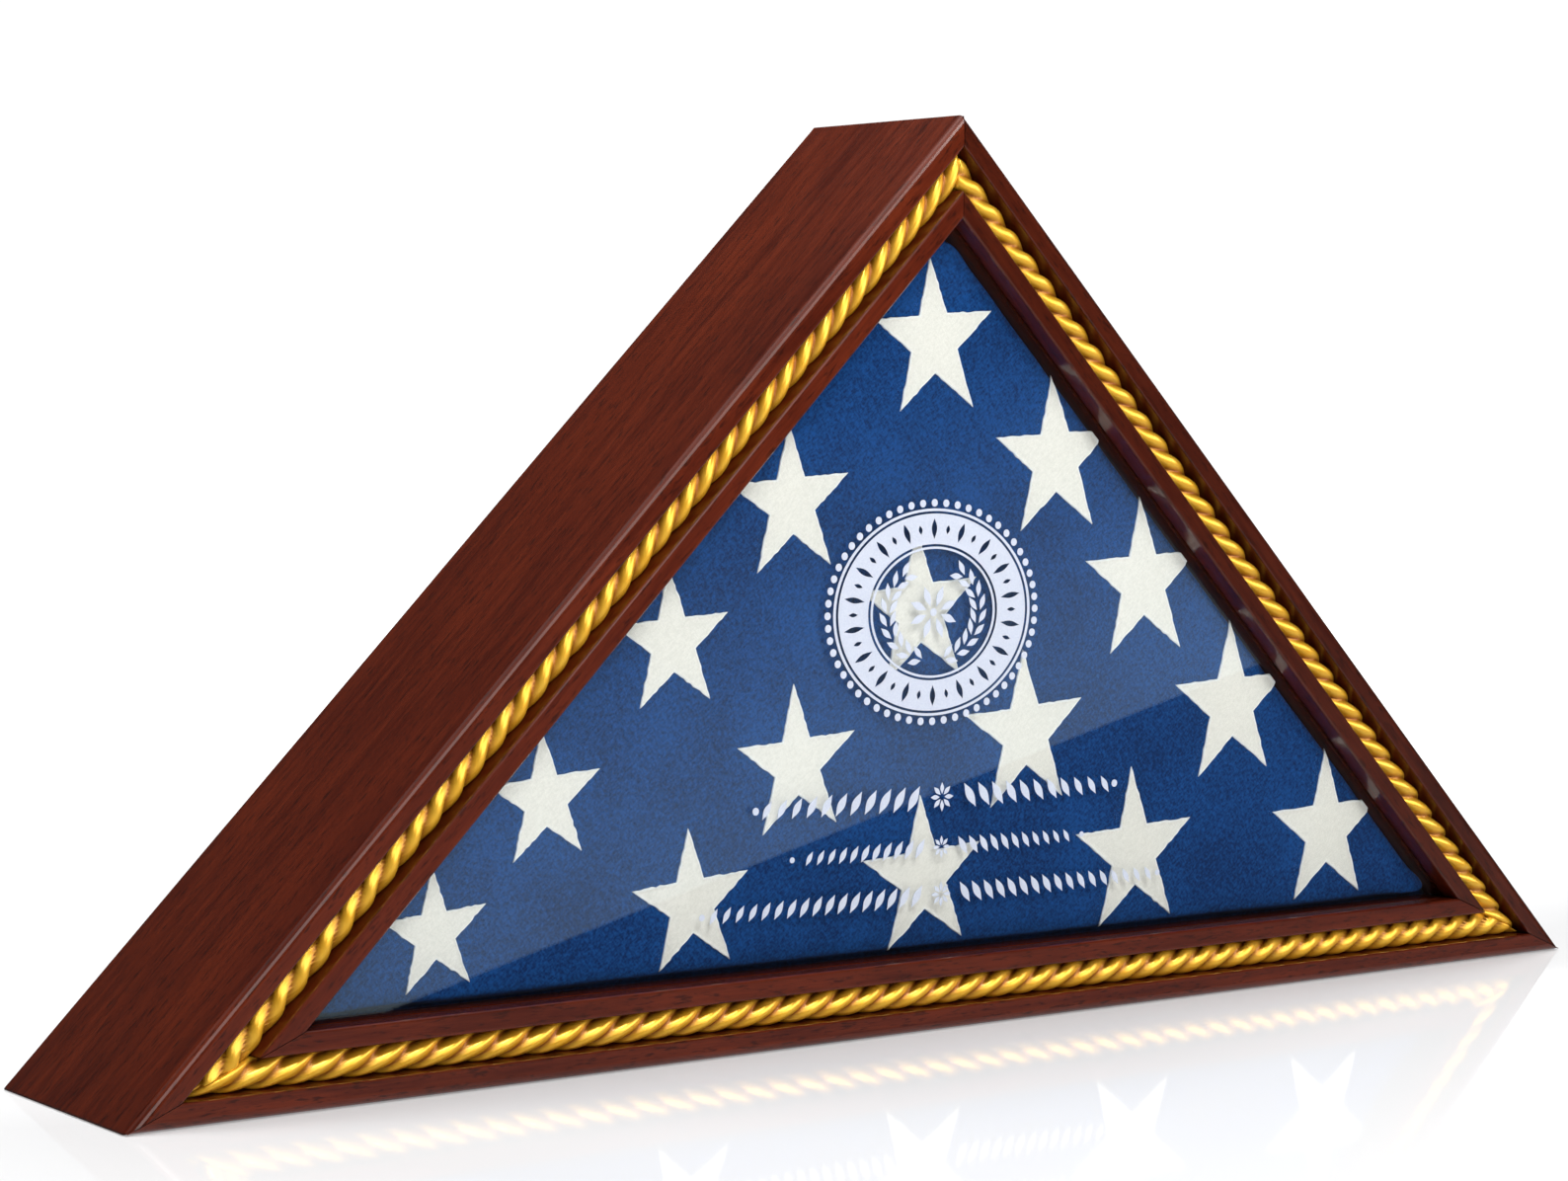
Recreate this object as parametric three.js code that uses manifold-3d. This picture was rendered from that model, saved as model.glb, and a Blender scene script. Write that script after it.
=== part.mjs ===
// Folded flag display case, in millimetres, +Z up.
//
// Three mitred boards make a right-angled triangle that stands on its longest side. A rope trim
// lies in a channel round the front, a raised bezel and square beads hold the glass, and the
// folded flag fills the box behind it. The back is a door on two butt hinges along the bottom,
// kept shut by two turn buttons, and two ring hangers let the case hang on a wall.
//
// The origin is on the underside, at the middle of the width and of the depth. The front is -Y.
// A section across a board is given as points (inset, depth): the inset is measured inwards
// from the outer face of the board, and the depth backwards from the front plane.
import * as THREE from "three";
import { mergeVertices } from "three/addons/utils/BufferGeometryUtils.js";
import Module from "manifold-3d";

const wasm = await Module();
wasm.setup();

// ---------------------------------------------------------------- driving dimensions

// The whole case
const caseWidth = 650;
const caseDepth = 88;
const apexAngle = THREE.MathUtils.degToRad(90);
const fitGap = 0.3; // between pieces that are glued, screwed or seated together
const mitreGap = 0.3;

// Boards
const boardThickness = 18.5;
const outerEdgeRadius = 2.8;
const softEdge = 0.6; // every other sharp corner of the wood
const splineThickness = 3;
const splineWidth = 12;
const splineEndRoom = 8; // solid wood left in front of a spline and behind it

// Rope trim
const ropeDiameter = 9.4;
const ropeSides = 16;
const ropeSideRoom = 0.7; // between the rope and each wall of its channel
const ropeSink = 3.3; // how far the rope lies below the front edges

// Bezel, glass and glass stops
const bezelWidth = 7;
const bezelDepth = 20;
const bezelEdgeRadius = 0.8;
const lipWidth = 3.6; // how far the bezel covers the glass
const lipDepth = 7.8;
const glassThickness = 2;
const stopWidth = 3;
const stopDepth = 9;

// Folded flag
const flagBackRoom = 10; // between the flag and the door
const flagSideRoom = 1.2; // between the flag and what is beside it
const flagCrown = 4; // how far its edges are rounded
const flagCornerCut = 7;

// Back door
const doorThickness = 5;
const doorRebateWidth = 5;
const doorEdgeGap = 0.4;
const doorSink = 0.2; // how far its face lies below the back edges of the boards
const doorBevel = 2.2; // how far its edges slope in, so that it swings clear of its rebate
const doorCornerCut = 8; // off the two sharp bottom corners, for the same reason
const fingerNotchHeight = 22; // cut off the top corner of the door

// Butt hinges
const hingeLength = 38;
const hingeInset = 120; // from the bottom corner of the door to the middle of the hinge
const middleKnuckleLength = 13;
const knuckleRadius = 2.2;
const pinRadius = 1.05;
const pinClearance = 0.1;
const pinHeadRadius = 1.7;
const pinHeadLength = 1;
const leafThickness = 1.2;
const caseLeafWidth = 9.5; // from the pin's axis to the edge of the leaf
const doorLeafWidth = 12;
const hingeScrewSpacing = 24;
const hingeScrewLength = 4.6;

// Turn buttons
const buttonFromApex = 95; // along the outer edge of the board
const buttonReach = 18; // from its screw to its tip
const buttonWidth = 9;
const buttonTipWidth = 7;
const buttonThickness = 1.6;
const buttonScrewLength = 12;

// Ring hangers
const hangerFromApex = 190;
const strapLength = 22;
const strapWidth = 7.4;
const strapThickness = 1;
const eyeRadius = 2;
const wireRadius = 0.9;
const wireClearance = 0.15;
const ringInnerWidth = 6.2;
const ringStraight = 4;
const hangerScrewFromEye = 13.5;
const hangerScrewLength = 10;

// Screws
const screwRadius = 1.3;
const screwHeadRadius = 2.5;
const panHeadRadius = 3;
const panHeadHeight = 1.6;
const recessWidth = 0.7;
const recessDepth = 0.6;

// ---------------------------------------------------------------- places worked out from them

const front = -caseDepth / 2;
const back = caseDepth / 2;
const baseAngle = (Math.PI - apexAngle) / 2;
const caseHeight = (caseWidth / 2) * Math.tan(baseAngle);

const bezelOuter = boardThickness + fitGap;
const rimWidth = bezelOuter - ropeDiameter - 2 * ropeSideRoom; // outside the rope channel
const channelDepth = ropeSink + ropeDiameter + fitGap;
const bezelInner = bezelOuter + bezelWidth;
const glassEdgeWall = bezelInner - lipWidth;
const glassInset = glassEdgeWall + fitGap;
const glassFront = lipDepth + fitGap;
const glassBack = glassFront + glassThickness;
const stopFront = glassBack + fitGap;
const stopInner = glassInset + stopWidth;

const rebateDepth = doorThickness + fitGap + doorSink;
const rebateInset = boardThickness - doorRebateWidth;
const doorInset = rebateInset + doorEdgeGap;
const doorBack = back - doorSink;
const doorFront = doorBack - doorThickness;
const landMiddle = rebateInset / 2; // middle of the back edge left beside the door
const splineLength = caseDepth - rebateDepth - channelDepth - 2 * splineEndRoom;
const flagStart = glassBack + fitGap;
const flagEnd = doorFront - front - flagBackRoom;

const leafFront = back + fitGap;
const hingeY = leafFront + knuckleRadius;
const hingeZ = (rebateInset + doorInset) / 2;
const doorCornerX = caseWidth / 2 - doorInset / Math.tan(baseAngle / 2);
const hingeX = doorCornerX - hingeInset;

// ---------------------------------------------------------------- materials

function material(color, roughness, metalness) {
  return new THREE.MeshStandardMaterial({ color, roughness, metalness });
}

const mahogany = material(0x571d12, 0.38, 0);
const plainWood = material(0xa87b4f, 0.7, 0);
const doorBoard = material(0x4a1c12, 0.6, 0);
const goldRope = material(0xe3a317, 0.28, 0.7);
const clearGlass = new THREE.MeshStandardMaterial({
  color: 0xdde8ec,
  roughness: 0.05,
  metalness: 0,
  transparent: true,
  opacity: 0.2,
});
const blueCotton = material(0x1d4288, 0.9, 0);
const brass = material(0xb98b3a, 0.35, 1);
const steel = material(0xb4b4b0, 0.35, 1);

// ---------------------------------------------------------------- solids and meshes

const caseGroup = new THREE.Group();

// A closed geometry as a manifold solid.
function solidOf(geometry) {
  const bare = geometry.clone();
  bare.deleteAttribute("normal");
  bare.deleteAttribute("uv");
  const merged = mergeVertices(bare, 1e-4);
  const triangles = [];
  for (let i = 0; i < merged.index.count; i += 3) {
    const [a, b, c] = merged.index.array.slice(i, i + 3);
    if (a !== b && b !== c && c !== a) triangles.push(a, b, c);
  }
  return new wasm.Manifold(
    new wasm.Mesh({
      numProp: 3,
      vertProperties: new Float32Array(merged.attributes.position.array),
      triVerts: new Uint32Array(triangles),
    }),
  );
}

function geometryOf(solid) {
  const mesh = solid.getMesh();
  const geometry = new THREE.BufferGeometry();
  geometry.setAttribute("position", new THREE.BufferAttribute(mesh.vertProperties, 3));
  geometry.setIndex(new THREE.BufferAttribute(mesh.triVerts, 1));
  geometry.computeVertexNormals();
  return geometry;
}

function joined(...geometries) {
  const solids = geometries.map(solidOf);
  return geometryOf(solids.reduce((sum, solid) => sum.add(solid)));
}

function cut(geometry, cutters) {
  const solids = cutters.map(solidOf);
  return geometryOf(solids.reduce((rest, solid) => rest.subtract(solid), solidOf(geometry)));
}

function addPart(name, geometry, finish, place = new THREE.Matrix4()) {
  const mesh = new THREE.Mesh(geometry, finish);
  mesh.name = name;
  mesh.applyMatrix4(place);
  caseGroup.add(mesh);
}

function box(width, depth, height, x, y, z) {
  return new THREE.BoxGeometry(width, depth, height).translate(x, y, z);
}

function rodAlongX(radius, length, sides) {
  return new THREE.CylinderGeometry(radius, radius, length, sides).rotateZ(Math.PI / 2);
}

// A flat piece drawn as points (x, z), lying between two depths of the case.
function plate(points, yFront, yBack) {
  const shape = new THREE.Shape(points.map(([x, z]) => new THREE.Vector2(x, z)));
  const options = { depth: yBack - yFront, bevelEnabled: false };
  return new THREE.ExtrudeGeometry(shape, options).rotateX(Math.PI / 2).translate(0, yBack, 0);
}

// A solid turned about the Y axis, from points (radius, y) that start and end on the axis.
function turned(points, sides) {
  return new THREE.LatheGeometry(points.map(([r, y]) => new THREE.Vector2(r, y)), sides);
}

// ---------------------------------------------------------------- the triangle

// A corner of the case's outline moved inwards by an inset, as a Vector2 (x, z).
function corner(name, inset) {
  const sideX = caseWidth / 2 - inset / Math.tan(baseAngle / 2);
  if (name === "apex") return new THREE.Vector2(0, caseHeight - inset / Math.cos(baseAngle));
  return new THREE.Vector2(name === "left" ? -sideX : sideX, inset);
}

// Each board runs from one corner to the next, counter-clockwise seen from behind.
const boardEnds = {
  base: ["right", "left"],
  left: ["left", "apex"],
  right: ["apex", "right"],
};
const halfAngle = { apex: apexAngle / 2, left: baseAngle / 2, right: baseAngle / 2 };

// A strip along one side of the triangle, with its section as points (inset, depth) and both
// ends cut on the mitre.
function mitredStrip(side, section) {
  const shape = new THREE.Shape(section.map(([inset, depth]) => new THREE.Vector2(inset, depth)));
  const strip = new THREE.ExtrudeGeometry(shape, { depth: 1, bevelEnabled: false });
  const [from, to] = boardEnds[side];
  const position = strip.attributes.position;
  for (let i = 0; i < position.count; i++) {
    const inset = position.getX(i);
    const start = corner(from, inset);
    const end = corner(to, inset);
    const along = end.clone().sub(start).normalize();
    start.addScaledVector(along, mitreGap / 2 / Math.sin(halfAngle[from]));
    end.addScaledVector(along, -mitreGap / 2 / Math.sin(halfAngle[to]));
    const point = position.getZ(i) < 0.5 ? start : end;
    position.setXYZ(i, point.x, front + position.getY(i), point.y);
  }
  return strip;
}

// A solid that passes through outlines at increasing depths. Each layer is [depth, outline],
// and every outline has the same number of points (x, z), counter-clockwise from the front.
function lofted(layers) {
  const outline = layers[0][1];
  const steps = layers.length - 1;
  const shape = new THREE.Shape(outline);
  const loft = new THREE.ExtrudeGeometry(shape, { depth: steps, steps, bevelEnabled: false });
  const position = loft.attributes.position;
  for (let i = 0; i < position.count; i++) {
    const [x, y] = [position.getX(i), position.getY(i)];
    const place = outline.findIndex((point) => Math.hypot(point.x - x, point.y - y) < 1e-3);
    const [depth, points] = layers[steps - Math.round(position.getZ(i))];
    position.setXYZ(i, points[place].x, front + depth, points[place].y);
  }
  return loft;
}

function trianglePoints(inset) {
  return ["left", "right", "apex"].map((name) => corner(name, inset));
}

// Points of a quarter round about a centre, from one angle to another in quarter turns.
function arcPoints(inset, depth, radius, fromQuarter, toQuarter, steps) {
  const points = [];
  for (let i = 0; i <= steps; i++) {
    const angle = ((fromQuarter + ((toQuarter - fromQuarter) * i) / steps) * Math.PI) / 2;
    points.push([inset + radius * Math.cos(angle), depth + radius * Math.sin(angle)]);
  }
  return points;
}

// A place on the back edge of a side board: x points up along the board, y out of the back.
function backStation(side, fromApex) {
  const top = corner("apex", landMiddle);
  const bottom = corner(side, landMiddle);
  const up = top.clone().sub(bottom).normalize();
  const spot = top.addScaledVector(up, -(fromApex - landMiddle / Math.tan(apexAngle / 2)));
  return new THREE.Matrix4()
    .makeTranslation(spot.x, back, spot.y)
    .multiply(new THREE.Matrix4().makeRotationY(-Math.atan2(up.y, up.x)));
}

// ---------------------------------------------------------------- screws

// Both kinds point towards -Y with the underside or top of the head at y = 0. A hole for one
// is the same shape, larger by the gap.
function countersunkPoints(length, gap) {
  const shank = screwRadius + gap;
  const head = screwHeadRadius + gap;
  return [
    [0, -length - gap],
    [shank, -length - gap + shank],
    [shank, -leafThickness],
    [head, 0],
    [head, gap],
    [0, gap],
  ];
}

function panHeadPoints(length, gap) {
  const shank = screwRadius + gap;
  const points = [[0, -length - gap], [shank, -length - gap + shank], [shank, 0]];
  const steps = 5;
  for (let i = 0; i <= steps; i++) {
    const angle = ((i / steps) * Math.PI) / 2;
    points.push([panHeadRadius * Math.cos(angle), panHeadHeight * Math.sin(angle)]);
  }
  points[points.length - 1][0] = 0;
  return points;
}

function crossRecess(geometry, top, headRadius) {
  const y = top - recessDepth / 2 + 0.5;
  const depth = recessDepth + 1;
  const long = headRadius * 1.2;
  return cut(geometry, [
    box(long, depth, recessWidth, 0, y, 0),
    box(recessWidth, depth, long, 0, y, 0),
  ]);
}

function countersunkScrew(length) {
  const points = countersunkPoints(length, 0).filter(([, y], i, all) => i !== all.length - 2);
  return crossRecess(turned(points, 16), 0, screwHeadRadius);
}

function panHeadScrew(length) {
  return crossRecess(turned(panHeadPoints(length, 0), 16), panHeadHeight, panHeadRadius);
}

function screwHole(length) {
  const shank = screwRadius + fitGap;
  return turned([[0, -length - fitGap], [shank, -length], [shank, 1], [0, 1]], 16);
}

// ---------------------------------------------------------------- boards and mitre splines

// A loose tongue across the mitre at a corner, or the slot for it when grown by a gap.
function mitreSpline(name, grow) {
  const outer = corner(name, 0);
  const middle = corner(name, boardThickness / 2);
  const mitre = middle.clone().sub(outer);
  const across = Math.atan2(mitre.y, mitre.x) + Math.PI / 2;
  const solidBack = front + channelDepth;
  const y = (solidBack + back - rebateDepth) / 2;
  return new THREE.BoxGeometry(
    splineWidth + 2 * grow,
    splineLength + 2 * grow,
    splineThickness + 2 * grow,
  )
    .rotateY(-across)
    .translate(middle.x, y, middle.y);
}

const boardSection = [
  ...arcPoints(outerEdgeRadius, outerEdgeRadius, outerEdgeRadius, 2, 3, 5),
  ...arcPoints(rimWidth - softEdge, softEdge, softEdge, -1, 0, 2),
  [rimWidth, channelDepth],
  [boardThickness, channelDepth],
  [boardThickness, caseDepth - rebateDepth],
  [rebateInset, caseDepth - rebateDepth],
  ...arcPoints(rebateInset - softEdge, caseDepth - softEdge, softEdge, 0, 1, 2),
  ...arcPoints(softEdge, caseDepth - softEdge, softEdge, 1, 2, 2),
];

const hingeScrewXs = [-hingeX, hingeX].flatMap((x) => [
  x - hingeScrewSpacing / 2,
  x + hingeScrewSpacing / 2,
]);
const caseScrewZ = hingeZ - (caseLeafWidth + knuckleRadius) / 2 - 0.3;
const doorScrewZ = hingeZ + (doorLeafWidth + knuckleRadius) / 2;
const leafBack = leafFront + leafThickness;

function hingeScrewHoles(z) {
  return hingeScrewXs.map((x) => screwHole(hingeScrewLength).translate(x, leafBack, z));
}

function buildBoards() {
  for (const [side, ends] of Object.entries(boardEnds)) {
    const holes = ends.map((name) => mitreSpline(name, fitGap));
    if (side === "base") {
      holes.push(...hingeScrewHoles(caseScrewZ));
    } else {
      const buttonBack = fitGap + buttonThickness + fitGap;
      const strapBack = fitGap + strapThickness;
      holes.push(
        screwHole(buttonScrewLength)
          .translate(0, buttonBack, 0)
          .applyMatrix4(backStation(side, buttonFromApex)),
        screwHole(hangerScrewLength)
          .translate(-hangerScrewFromEye, strapBack, 0)
          .applyMatrix4(backStation(side, hangerFromApex)),
      );
    }
    addPart(`${side}_board`, cut(mitredStrip(side, boardSection), holes), mahogany);
  }
  for (const name of Object.keys(halfAngle)) {
    addPart(`mitre_spline_${name}`, mitreSpline(name, 0), plainWood);
  }
}

// ---------------------------------------------------------------- rope, bezel, glass and stops

function buildFront() {
  const ropeRadius = ropeDiameter / 2;
  const ropeInset = (rimWidth + bezelOuter) / 2;
  const ropeDepth = channelDepth - fitGap - ropeRadius;
  const ropeSection = arcPoints(ropeInset, ropeDepth, ropeRadius, 0, 4, ropeSides).slice(1);
  const bezelSection = [
    ...arcPoints(bezelOuter + bezelEdgeRadius, bezelEdgeRadius, bezelEdgeRadius, 2, 3, 3),
    ...arcPoints(bezelInner - bezelEdgeRadius, bezelEdgeRadius, bezelEdgeRadius, -1, 0, 3),
    [bezelInner, lipDepth],
    [glassEdgeWall, lipDepth],
    [glassEdgeWall, bezelDepth],
    [bezelOuter, bezelDepth],
  ];
  const stopSection = [
    [glassInset, stopFront],
    [stopInner, stopFront],
    [stopInner, stopFront + stopDepth - softEdge],
    [stopInner - softEdge, stopFront + stopDepth],
    [glassInset, stopFront + stopDepth],
  ];
  for (const side of Object.keys(boardEnds)) {
    addPart(`rope_trim_${side}`, mitredStrip(side, ropeSection), goldRope);
    addPart(`bezel_${side}`, mitredStrip(side, bezelSection), mahogany);
    addPart(`glass_stop_${side}`, mitredStrip(side, stopSection), mahogany);
  }
  const glassOutline = trianglePoints(glassInset);
  const glass = lofted([[glassFront, glassOutline], [glassBack, glassOutline]]);
  addPart("glass_pane", glass, clearGlass);
}

// ---------------------------------------------------------------- folded flag

// The outline of the flag at an inset, with its three corners cut off, as points (x, z).
function flagOutline(inset) {
  const names = ["left", "right", "apex"];
  return names.flatMap((name, i) => {
    const here = corner(name, inset);
    const before = corner(names[(i + 2) % 3], inset).sub(here).normalize();
    const after = corner(names[(i + 1) % 3], inset).sub(here).normalize();
    return [before, after].map((way) => here.clone().addScaledVector(way, flagCornerCut));
  });
}

// A soft wedge that is narrow where it passes between the glass stops, full behind them, and
// rounded at the back.
function buildFlag() {
  const narrow = stopInner + flagSideRoom;
  const full = boardThickness + flagSideRoom;
  const bezelEnd = bezelDepth + flagSideRoom;
  const layers = [
    [flagStart, narrow + flagCrown / 2],
    [flagStart + flagCrown / 2, narrow],
    [bezelEnd, narrow],
    [bezelEnd + flagCrown, full],
    [flagEnd - flagCrown, full],
    [flagEnd, full + flagCrown],
  ];
  const flag = lofted(layers.map(([depth, inset]) => [depth, flagOutline(inset)]));
  addPart("folded_flag", flag, blueCotton);
}

// ---------------------------------------------------------------- back door

// The outline of the door at an inset, as points (x, z), from the bottom left corner.
function doorOutline(inset) {
  const [left, right, apex] = trianglePoints(inset);
  const cutHeight = doorCornerCut * Math.tan(baseAngle);
  const notchHalf = fingerNotchHeight / Math.tan(baseAngle);
  return [
    new THREE.Vector2(left.x + doorCornerCut, left.y),
    new THREE.Vector2(right.x - doorCornerCut, right.y),
    new THREE.Vector2(right.x - doorCornerCut, right.y + cutHeight),
    new THREE.Vector2(notchHalf, apex.y - fingerNotchHeight),
    new THREE.Vector2(-notchHalf, apex.y - fingerNotchHeight),
    new THREE.Vector2(left.x + doorCornerCut, left.y + cutHeight),
  ];
}

function buildDoor() {
  const panel = lofted([
    [doorFront - front, doorOutline(doorInset + doorBevel)],
    [doorBack - front, doorOutline(doorInset)],
  ]);
  addPart("back_door", cut(panel, hingeScrewHoles(doorScrewZ)), doorBoard);
}

// ---------------------------------------------------------------- butt hinges

function hingeScrewSinks(x, z) {
  return [-1, 1].map((side) =>
    turned(countersunkPoints(leafThickness * 3, fitGap), 16).translate(
      x + (side * hingeScrewSpacing) / 2,
      leafBack,
      z,
    ),
  );
}

// One leaf: a plate with tabs that reach the pin's axis where its own knuckles are.
function hingeLeaf(plateOutline, knuckles, x, screwZ) {
  const barrels = knuckles.map(([middle, length]) =>
    rodAlongX(knuckleRadius, length, 20).translate(x + middle, hingeY, hingeZ),
  );
  const outline = plateOutline.map(([px, pz]) => [x + px, hingeZ + pz]);
  const body = joined(plate(outline, leafFront, leafBack), ...barrels);
  const bore = rodAlongX(pinRadius + pinClearance, hingeLength + 2, 20);
  return cut(body, [bore.translate(x, hingeY, hingeZ), ...hingeScrewSinks(x, screwZ)]);
}

function buildHinge(side, x) {
  const half = hingeLength / 2;
  const middle = middleKnuckleLength / 2;
  const clear = knuckleRadius + fitGap;
  const outerLength = half - middle - fitGap;
  const outerMiddle = half - outerLength / 2;
  const caseOutline = [
    [-half, -caseLeafWidth], [half, -caseLeafWidth], [half, 0], [middle + fitGap, 0],
    [middle + fitGap, -clear], [-middle - fitGap, -clear], [-middle - fitGap, 0], [-half, 0],
  ];
  const doorOutline = [
    [-middle, 0], [middle, 0], [middle, clear], [half, clear],
    [half, doorLeafWidth], [-half, doorLeafWidth], [-half, clear], [-middle, clear],
  ];
  const outerKnuckles = [[-outerMiddle, outerLength], [outerMiddle, outerLength]];
  const caseLeaf = hingeLeaf(caseOutline, outerKnuckles, x, caseScrewZ);
  const doorLeaf = hingeLeaf(doorOutline, [[0, middleKnuckleLength]], x, doorScrewZ);
  addPart(`hinge_${side}_case_leaf`, caseLeaf, brass);
  addPart(`hinge_${side}_door_leaf`, doorLeaf, brass);

  const headStart = half + fitGap;
  const headEnd = headStart + pinHeadLength;
  const pin = turned(
    [
      [0, -headEnd], [pinHeadRadius, -headEnd], [pinHeadRadius, -headStart],
      [pinRadius, -headStart], [pinRadius, headStart], [pinHeadRadius, headStart],
      [pinHeadRadius, headEnd], [0, headEnd],
    ],
    20,
  );
  const lying = pin.rotateZ(Math.PI / 2).translate(x, hingeY, hingeZ);
  addPart(`hinge_${side}_pin`, lying, steel);

  for (const [owner, z] of [["case", caseScrewZ], ["door", doorScrewZ]]) {
    [-1, 1].forEach((way, i) => {
      const screw = countersunkScrew(hingeScrewLength);
      const place = new THREE.Matrix4();
      place.makeTranslation(x + (way * hingeScrewSpacing) / 2, leafBack, z);
      addPart(`hinge_${side}_${owner}_screw_${i + 1}`, screw, brass, place);
    });
  }
}

// ---------------------------------------------------------------- turn buttons

// The button lies down along the board, clear of the door, with its round end on the screw.
function buildTurnButton(side) {
  const station = backStation(side, buttonFromApex);
  const shape = new THREE.Shape();
  const tipRadius = buttonTipWidth / 2;
  shape.absarc(0, 0, buttonWidth / 2, -Math.PI / 2, Math.PI / 2, false);
  shape.absarc(tipRadius - buttonReach, 0, tipRadius, Math.PI / 2, (3 * Math.PI) / 2, false);
  const edge = buttonThickness / 4;
  const bevel = { bevelSize: edge, bevelThickness: edge, bevelOffset: -edge, bevelSegments: 1 };
  const depth = buttonThickness - 2 * edge;
  const blank = new THREE.ExtrudeGeometry(shape, { depth, curveSegments: 10, ...bevel })
    .rotateX(-Math.PI / 2)
    .translate(0, fitGap + edge, 0);
  const hole = new THREE.CylinderGeometry(
    screwRadius + wireClearance,
    screwRadius + wireClearance,
    buttonThickness * 3,
    16,
  );
  addPart(`turn_button_${side}`, cut(blank, [hole.translate(0, fitGap, 0)]), brass, station);

  const headUnderside = new THREE.Matrix4();
  headUnderside.makeTranslation(0, fitGap + buttonThickness + fitGap, 0);
  const place = station.clone().multiply(headUnderside);
  addPart(`turn_button_${side}_screw`, panHeadScrew(buttonScrewLength), brass, place);
}

// ---------------------------------------------------------------- ring hangers

// The strap's eye is at its upper end, and the ring is folded down over the strap.
function buildHanger(side) {
  const station = backStation(side, hangerFromApex);
  const eyeY = fitGap + strapThickness + fitGap + wireRadius;
  const eyeLength = ringInnerWidth - 2 * fitGap;
  const alongZ = (radius, length) =>
    new THREE.CylinderGeometry(radius, radius, length, 16).rotateX(Math.PI / 2);

  const half = strapWidth / 2;
  const strapShape = new THREE.Shape();
  strapShape.moveTo(0, -half);
  strapShape.lineTo(0, half);
  strapShape.absarc(half - strapLength, 0, half, Math.PI / 2, (3 * Math.PI) / 2, false);
  const strapPlate = new THREE.ExtrudeGeometry(strapShape, {
    depth: strapThickness,
    bevelEnabled: false,
    curveSegments: 8,
  })
    .rotateX(-Math.PI / 2)
    .translate(0, fitGap, 0);
  const barrel = alongZ(eyeRadius, eyeLength).translate(0, eyeY, 0);
  const strap = cut(joined(strapPlate, barrel), [
    alongZ(wireRadius + wireClearance, eyeLength + 2).translate(0, eyeY, 0),
    new THREE.CylinderGeometry(
      screwRadius + fitGap,
      screwRadius + fitGap,
      strapThickness * 4,
      16,
    ).translate(-hangerScrewFromEye, 0, 0),
  ]);
  addPart(`hanger_${side}_strap`, strap, steel, station);

  const ringHalf = ringInnerWidth / 2 + wireRadius;
  const route = [new THREE.Vector3(0, 0, -ringHalf)];
  const turns = 12;
  for (let i = 0; i <= turns; i++) {
    const angle = (i / turns) * Math.PI;
    const x = -ringStraight - ringHalf * Math.sin(angle);
    route.push(new THREE.Vector3(x, 0, -ringHalf * Math.cos(angle)));
  }
  route.push(new THREE.Vector3(0, 0, ringHalf));
  const wire = new THREE.Shape();
  wire.absarc(0, 0, wireRadius, 0, 2 * Math.PI, false);
  const bow = new THREE.ExtrudeGeometry(wire, {
    steps: 28,
    curveSegments: 5,
    bevelEnabled: false,
    extrudePath: new THREE.CatmullRomCurve3(route),
  });
  const bar = alongZ(wireRadius, 2 * (ringHalf + wireRadius));
  addPart(`hanger_${side}_ring`, joined(bow, bar).translate(0, eyeY, 0), steel, station);

  const headUnderside = new THREE.Matrix4();
  headUnderside.makeTranslation(-hangerScrewFromEye, fitGap + strapThickness + fitGap, 0);
  const place = station.clone().multiply(headUnderside);
  addPart(`hanger_${side}_screw`, panHeadScrew(hangerScrewLength), steel, place);
}

// ---------------------------------------------------------------- assembly

buildBoards();
buildFront();
buildFlag();
buildDoor();
buildHinge("left", -hingeX);
buildHinge("right", hingeX);
for (const side of ["left", "right"]) {
  buildTurnButton(side);
  buildHanger(side);
}

export default caseGroup;
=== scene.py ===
"""Looks of the folded flag display case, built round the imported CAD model. Metres, +Z up."""

import math
import random

import bpy
from mathutils import Matrix, Vector
from mathutils.bvhtree import BVHTree


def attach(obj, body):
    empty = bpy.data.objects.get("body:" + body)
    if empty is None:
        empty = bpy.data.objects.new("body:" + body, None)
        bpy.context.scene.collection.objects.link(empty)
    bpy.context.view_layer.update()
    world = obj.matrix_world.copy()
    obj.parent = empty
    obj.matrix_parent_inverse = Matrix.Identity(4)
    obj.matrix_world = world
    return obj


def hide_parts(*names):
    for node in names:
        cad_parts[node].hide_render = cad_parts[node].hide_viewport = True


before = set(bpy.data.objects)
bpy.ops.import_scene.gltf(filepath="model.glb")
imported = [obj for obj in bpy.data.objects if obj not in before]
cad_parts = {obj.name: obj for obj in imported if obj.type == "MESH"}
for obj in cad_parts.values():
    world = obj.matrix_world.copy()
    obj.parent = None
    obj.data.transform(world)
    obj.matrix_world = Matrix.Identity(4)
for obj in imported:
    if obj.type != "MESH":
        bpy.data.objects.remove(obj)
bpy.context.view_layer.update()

MM = 0.001

# ---------------------------------------------------------------- sizes
# the case, as in the CAD model
HALF_WIDTH = 325 * MM
HEIGHT = 325 * MM
FRONT_Y = -44 * MM
BASE_MITRE = math.radians(22.5)  # half the angle at a base corner
APEX_MITRE = math.radians(45)  # half the angle at the apex

# the rope trim
ROPE_INSET = 13.4 * MM  # middle of the rope, from the outer faces
ROPE_DEPTH = 7.6 * MM  # middle of the rope, from the front plane
ROPE_RADIUS = 5.35 * MM
STRAND_COUNT = 3
STRAND_RADIUS = 2.95 * MM
ROPE_LAY = 34.5 * MM  # length of one whole turn of a strand
ROPE_GAP = 0.15 * MM  # half the gap in a mitre

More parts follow.
